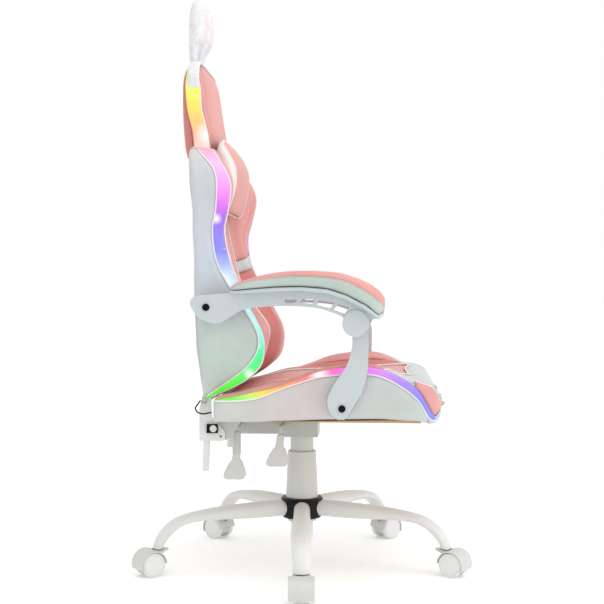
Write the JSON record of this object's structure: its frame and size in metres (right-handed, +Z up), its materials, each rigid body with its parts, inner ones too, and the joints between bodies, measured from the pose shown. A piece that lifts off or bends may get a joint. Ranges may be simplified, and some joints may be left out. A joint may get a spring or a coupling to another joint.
{
  "type": "gaming chair",
  "caption": "Racing-style swivel chair with caster base, gas lift, reclining winged back, linked armrests, light strips, neck pillow and plush ears.",
  "frame": {"origin": "point on the floor under the column axis, on the plane that the five casters stand on", "axes": "+X towards where the sitter faces, +Y to the sitter's left, +Z up"},
  "size_m": [0.7598, 0.7348, 1.308],
  "materials": {
    "white_metal": "gloss",
    "black_metal": "satin",
    "grey_metal": "satin",
    "steel": "satin",
    "dark_steel": "satin",
    "white_plastic": "satin",
    "wheel_white": "satin",
    "black_plastic": "satin",
    "cable_black": "matte",
    "plywood": "matte",
    "pink_cover": "satin",
    "rose_cover": "satin",
    "white_cover": "satin",
    "plush_white": "matte",
    "light_strip_pink": "satin",
    "light_strip_cyan": "satin"
  },
  "bodies": {
    "base": {"hub_core": "white_metal", "hub_collar": "black_metal", "leg_1": "white_metal", "leg_2": "white_metal", "leg_3": "white_metal", "leg_4": "white_metal", "leg_5": "white_metal", "column_tube": "steel", "cover_lower": "white_plastic"},
    "lift_rod": {"gas_rod": "steel"},
    "caster_1": {"caster_1_hood": "white_plastic", "caster_1_pins": "dark_steel"},
    "wheel_1a": {"caster_1_wheel_a": "wheel_white"},
    "wheel_1b": {"caster_1_wheel_b": "wheel_white"},
    "caster_2": {"caster_2_hood": "white_plastic", "caster_2_pins": "dark_steel"},
    "wheel_2a": {"caster_2_wheel_a": "wheel_white"},
    "wheel_2b": {"caster_2_wheel_b": "wheel_white"},
    "caster_3": {"caster_3_hood": "white_plastic", "caster_3_pins": "dark_steel"},
    "wheel_3a": {"caster_3_wheel_a": "wheel_white"},
    "wheel_3b": {"caster_3_wheel_b": "wheel_white"},
    "caster_4": {"caster_4_hood": "white_plastic", "caster_4_pins": "dark_steel"},
    "wheel_4a": {"caster_4_wheel_a": "wheel_white"},
    "wheel_4b": {"caster_4_wheel_b": "wheel_white"},
    "caster_5": {"caster_5_hood": "white_plastic", "caster_5_pins": "dark_steel"},
    "wheel_5a": {"caster_5_wheel_a": "wheel_white"},
    "wheel_5b": {"caster_5_wheel_b": "wheel_white"},
    "seat": {"gas_cylinder": "steel", "cover_upper": "white_plastic", "chassis": "grey_metal", "seat_brackets": "grey_metal", "seat_board": "plywood", "seat_cushion": "pink_cover", "seat_led": "light_strip_pink", "arm_front_bolts": "black_plastic"},
    "height_handle": {"height_lever": "grey_metal", "height_paddle": "white_plastic"},
    "recline_handle": {"recline_lever": "grey_metal", "recline_paddle": "white_plastic"},
    "back": {"back_brackets": "white_metal", "hinge_blocks": "black_plastic", "hinge_pins": "steel", "back_frame": "black_metal", "back_cushion": "white_cover", "head_cushion": "rose_cover", "back_led": "light_strip_cyan", "neck_pillow": "pink_cover", "ear_band": "white_cover", "ears": "plush_white", "arm_rear_bolts": "black_plastic", "led_cable": "cable_black"},
    "armrest_left": {"arm_shell_left": "white_plastic", "arm_pad_left": "pink_cover"},
    "support_left": {"arm_support_left": "white_plastic"},
    "armrest_right": {"arm_shell_right": "white_plastic", "arm_pad_right": "pink_cover"},
    "support_right": {"arm_support_right": "white_plastic"}
  },
  "joints": [
    {"name": "seat_swivel", "type": "hinge", "parent": "base", "child": "lift_rod", "pos_m": [0, 0, 0.07], "axis": [0, 0, 1], "continuous": true},
    {"name": "height", "type": "slide", "parent": "lift_rod", "child": "seat", "axis": [0, 0, 1], "range_m": [0, 0.08]},
    {"name": "caster_1_swivel", "type": "hinge", "parent": "base", "child": "caster_1", "pos_m": [0.02372, -0.33917, 0.07], "axis": [0, 0, 1], "continuous": true},
    {"name": "wheel_1a_spin", "type": "hinge", "parent": "caster_1", "child": "wheel_1a", "pos_m": [0.02511, -0.35912, 0.027], "axis": [0.9976, 0.0698, 0], "continuous": true},
    {"name": "wheel_1b_spin", "type": "hinge", "parent": "caster_1", "child": "wheel_1b", "pos_m": [0.02511, -0.35912, 0.027], "axis": [0.9976, 0.0698, 0], "continuous": true},
    {"name": "caster_2_swivel", "type": "hinge", "parent": "base", "child": "caster_2", "pos_m": [0.3299, -0.08225, 0.07], "axis": [0, 0, 1], "continuous": true},
    {"name": "wheel_2a_spin", "type": "hinge", "parent": "caster_2", "child": "wheel_2a", "pos_m": [0.34739, -0.09195, 0.027], "axis": [0.4848, 0.8746, 0], "continuous": true},
    {"name": "wheel_2b_spin", "type": "hinge", "parent": "caster_2", "child": "wheel_2b", "pos_m": [0.34739, -0.09195, 0.027], "axis": [0.4848, 0.8746, 0], "continuous": true},
    {"name": "caster_3_swivel", "type": "hinge", "parent": "base", "child": "caster_3", "pos_m": [0.18017, 0.28834, 0.07], "axis": [0, 0, 1], "continuous": true},
    {"name": "wheel_3a_spin", "type": "hinge", "parent": "caster_3", "child": "wheel_3a", "pos_m": [0.1948, 0.30198, 0.027], "axis": [-0.682, 0.7314, 0], "continuous": true},
    {"name": "wheel_3b_spin", "type": "hinge", "parent": "caster_3", "child": "wheel_3b", "pos_m": [0.1948, 0.30198, 0.027], "axis": [-0.682, 0.7314, 0], "continuous": true},
    {"name": "caster_4_swivel", "type": "hinge", "parent": "base", "child": "caster_4", "pos_m": [-0.21855, 0.26045, 0.07], "axis": [0, 0, 1], "continuous": true},
    {"name": "wheel_4a_spin", "type": "hinge", "parent": "caster_4", "child": "wheel_4a", "pos_m": [-0.23493, 0.27193, 0.027], "axis": [-0.5736, -0.8192, 0], "continuous": true},
    {"name": "wheel_4b_spin", "type": "hinge", "parent": "caster_4", "child": "wheel_4b", "pos_m": [-0.23493, 0.27193, 0.027], "axis": [-0.5736, -0.8192, 0], "continuous": true},
    {"name": "caster_5_swivel", "type": "hinge", "parent": "base", "child": "caster_5", "pos_m": [-0.31524, -0.12737, 0.07], "axis": [0, 0, 1], "continuous": true},
    {"name": "wheel_5a_spin", "type": "hinge", "parent": "caster_5", "child": "wheel_5a", "pos_m": [-0.33121, -0.1394, 0.027], "axis": [0.6018, -0.7986, 0], "continuous": true},
    {"name": "wheel_5b_spin", "type": "hinge", "parent": "caster_5", "child": "wheel_5b", "pos_m": [-0.33121, -0.1394, 0.027], "axis": [0.6018, -0.7986, 0], "continuous": true},
    {"name": "height_lever_lift", "type": "hinge", "parent": "seat", "child": "height_handle", "pos_m": [-0.036, -0.055, 0.334], "axis": [-1, 0, 0], "range_deg": [0, 7], "stiffness_Nm_per_rad": 2, "springref_deg": -5.73},
    {"name": "recline_lever_pull", "type": "hinge", "parent": "seat", "child": "recline_handle", "pos_m": [-0.134, -0.15, 0.334], "axis": [0, 1, 0], "range_deg": [0, 25], "stiffness_Nm_per_rad": 1, "springref_deg": -11.46},
    {"name": "recline", "type": "hinge", "parent": "seat", "child": "back", "pos_m": [-0.177, 0, 0.338], "axis": [0, -1, 0], "range_deg": [0, 40]},
    {"name": "armrest_left_pivot", "type": "hinge", "parent": "back", "child": "armrest_left", "pos_m": [-0.179, 0.288, 0.602], "axis": [0, -1, 0], "range_deg": [-39, 0]},
    {"name": "support_left_pivot", "type": "hinge", "parent": "seat", "child": "support_left", "pos_m": [0.104, 0.273, 0.39], "axis": [0, -1, 0], "range_deg": [0, 58]},
    {"name": "armrest_right_pivot", "type": "hinge", "parent": "back", "child": "armrest_right", "pos_m": [-0.179, -0.288, 0.602], "axis": [0, -1, 0], "range_deg": [-39, 0]},
    {"name": "support_right_pivot", "type": "hinge", "parent": "seat", "child": "support_right", "pos_m": [0.104, -0.273, 0.39], "axis": [0, -1, 0], "range_deg": [0, 58]}
  ],
  "couplings": [
    {"joint": "armrest_left_pivot", "follows": "recline", "ratio": -0.965},
    {"joint": "support_left_pivot", "follows": "recline", "ratio": 1.445},
    {"joint": "armrest_right_pivot", "follows": "recline", "ratio": -0.965},
    {"joint": "support_right_pivot", "follows": "recline", "ratio": 1.445}
  ]
}
